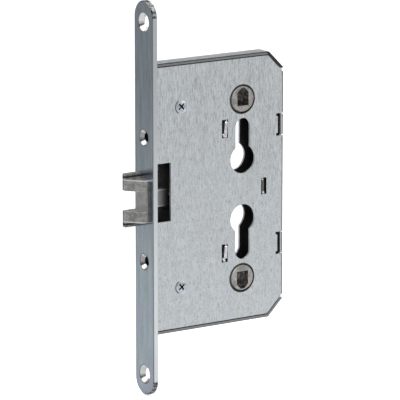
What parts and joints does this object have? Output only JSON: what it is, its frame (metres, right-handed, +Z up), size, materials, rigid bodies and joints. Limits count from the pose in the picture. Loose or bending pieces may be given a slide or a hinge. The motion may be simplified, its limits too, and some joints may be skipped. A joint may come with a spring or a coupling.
{
  "type": "mortise lock",
  "caption": "Mortise door lock with a bevelled spring latch, a round-ended forend, cut-outs for two profile cylinders and square spindle nuts.",
  "frame": {"origin": "centre of the forend's front face", "axes": "+X into the door, +Y through the lock's thickness away from the cover plate, +Z up the forend"},
  "size_m": [0.1045, 0.02, 0.235],
  "materials": {
    "zinc_forend": "bright zinc plating with a bluish, streaked sheen",
    "zinc_case": "zinc plated sheet with a fine vertical grain",
    "zinc_bright": "bare bright zinc plating",
    "zinc_screw": "bright bluish zinc plating",
    "sintered_steel": "matt, finely speckled sintered metal",
    "cast_nut": "die cast, dull and slightly mottled",
    "spring_steel": "drawn wire, semi-bright",
    "oiled_steel": "dark, greased steel inside the case"
  },
  "bodies": {
    "case": {"forend": "zinc_forend", "case_base": "zinc_case", "case_cover": "zinc_case", "rear_spacer": "zinc_bright", "latch_spring": "spring_steel", "latch_spring_stop": "oiled_steel", "upper_nut_washer": "spring_steel", "upper_return_spring": "spring_steel", "upper_spring_bracket": "oiled_steel", "upper_cover_post": "oiled_steel", "upper_cover_screw": "zinc_screw", "upper_screw_guide": "zinc_bright", "lower_nut_washer": "spring_steel", "lower_return_spring": "spring_steel", "lower_spring_bracket": "oiled_steel", "lower_cover_post": "oiled_steel", "lower_cover_screw": "zinc_screw", "lower_screw_guide": "zinc_bright"},
    "latch": {"latch_head": "sintered_steel", "latch_slide": "oiled_steel", "latch_spring_rod": "zinc_bright", "key_driver": "oiled_steel", "key_driver_rivets": "zinc_bright", "upper_spring_rod": "zinc_bright", "lower_spring_rod": "zinc_bright"},
    "upper_nut": {"upper_nut": "cast_nut"},
    "lower_nut": {"lower_nut": "cast_nut"}
  },
  "joints": [
    {"name": "latch_slide", "type": "slide", "parent": "case", "child": "latch", "axis": [1, 0, 0], "range_m": [0, 0.011], "stiffness_N_per_m": 450, "springref_m": -0.008, "deforming": ["latch_spring", "upper_return_spring", "lower_return_spring"]},
    {"name": "upper_nut_turn", "type": "hinge", "parent": "case", "child": "upper_nut", "pos_m": [0.065, 0, 0.054], "axis": [0, 1, 0], "range_deg": [0, 38]},
    {"name": "lower_nut_turn", "type": "hinge", "parent": "case", "child": "lower_nut", "pos_m": [0.065, 0, -0.054], "axis": [0, 1, 0], "range_deg": [-38, 0]}
  ],
  "couplings": [
    {"joint": "upper_nut_turn", "follows": "latch_slide", "rad_per_m": 60.29},
    {"joint": "lower_nut_turn", "follows": "latch_slide", "rad_per_m": -60.29}
  ]
}
